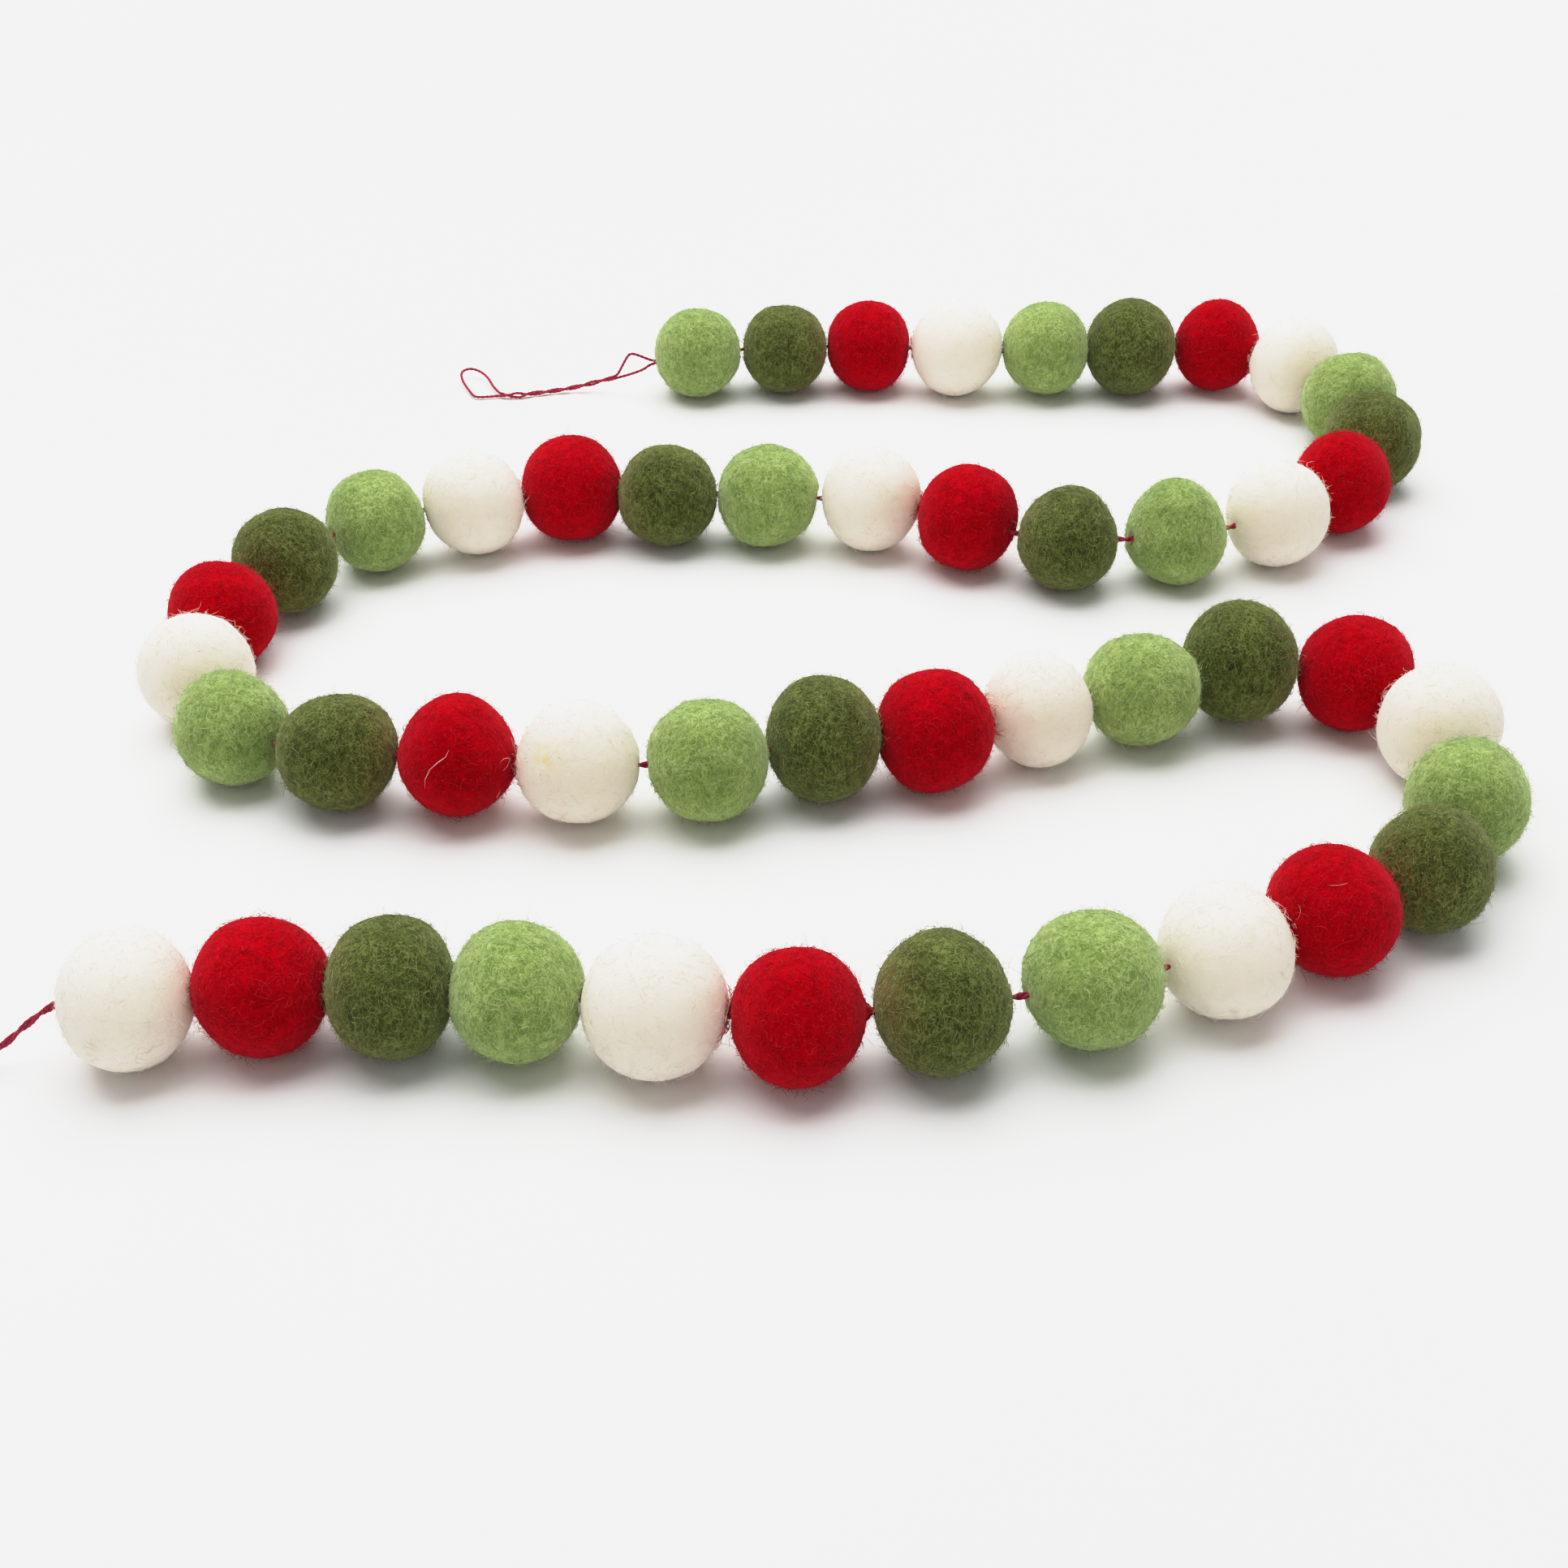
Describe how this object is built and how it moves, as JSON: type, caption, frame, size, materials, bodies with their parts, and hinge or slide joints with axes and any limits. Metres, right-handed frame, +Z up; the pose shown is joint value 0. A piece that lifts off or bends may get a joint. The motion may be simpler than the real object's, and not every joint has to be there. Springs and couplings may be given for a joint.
{
  "type": "felt ball garland",
  "caption": "Garland of hand-rolled wool felt balls in lime, moss, red and white, strung close together on a twisted crimson thread with a small loop at each end.",
  "frame": {"origin": "on the surface that the garland lies on, under the middle of the balls", "axes": "+Z up off the surface; +X to the right of someone who stands in front of the near row; +Y away from them, towards the far row"},
  "size_m": [0.3539, 0.3083, 0.0278],
  "materials": {
    "lime_felt": "matt fibrous wool felt",
    "moss_felt": "matt fibrous wool felt, heathered",
    "red_felt": "matt fibrous wool felt",
    "white_felt": "matt smooth wool felt, off-white",
    "crimson_thread": "matt twisted thread"
  },
  "bodies": {
    "root": {"ball_01_lime": "lime_felt", "ball_02_moss": "moss_felt", "ball_03_red": "red_felt", "ball_04_white": "white_felt", "ball_05_lime": "lime_felt", "ball_06_moss": "moss_felt", "ball_07_red": "red_felt", "ball_08_white": "white_felt", "ball_09_lime": "lime_felt", "ball_10_moss": "moss_felt", "ball_11_red": "red_felt", "ball_12_white": "white_felt", "ball_13_lime": "lime_felt", "ball_14_moss": "moss_felt", "ball_15_red": "red_felt", "ball_16_white": "white_felt", "ball_17_lime": "lime_felt", "ball_18_moss": "moss_felt", "ball_19_red": "red_felt", "ball_20_white": "white_felt", "ball_21_lime": "lime_felt", "ball_22_moss": "moss_felt", "ball_23_red": "red_felt", "ball_24_white": "white_felt", "ball_25_lime": "lime_felt", "ball_26_moss": "moss_felt", "ball_27_red": "red_felt", "ball_28_white": "white_felt", "ball_29_lime": "lime_felt", "ball_30_moss": "moss_felt", "ball_31_red": "red_felt", "ball_32_white": "white_felt", "ball_33_lime": "lime_felt", "ball_34_moss": "moss_felt", "ball_35_red": "red_felt", "ball_36_white": "white_felt", "ball_37_lime": "lime_felt", "ball_38_moss": "moss_felt", "ball_39_red": "red_felt", "ball_40_white": "white_felt", "ball_41_lime": "lime_felt", "ball_42_moss": "moss_felt", "ball_43_red": "red_felt", "ball_44_white": "white_felt", "ball_45_lime": "lime_felt", "ball_46_moss": "moss_felt", "ball_47_red": "red_felt", "ball_48_white": "white_felt", "thread_tail_far": "crimson_thread", "thread_tail_near": "crimson_thread", "thread_through_balls": "crimson_thread"}
  },
  "joints": []
}
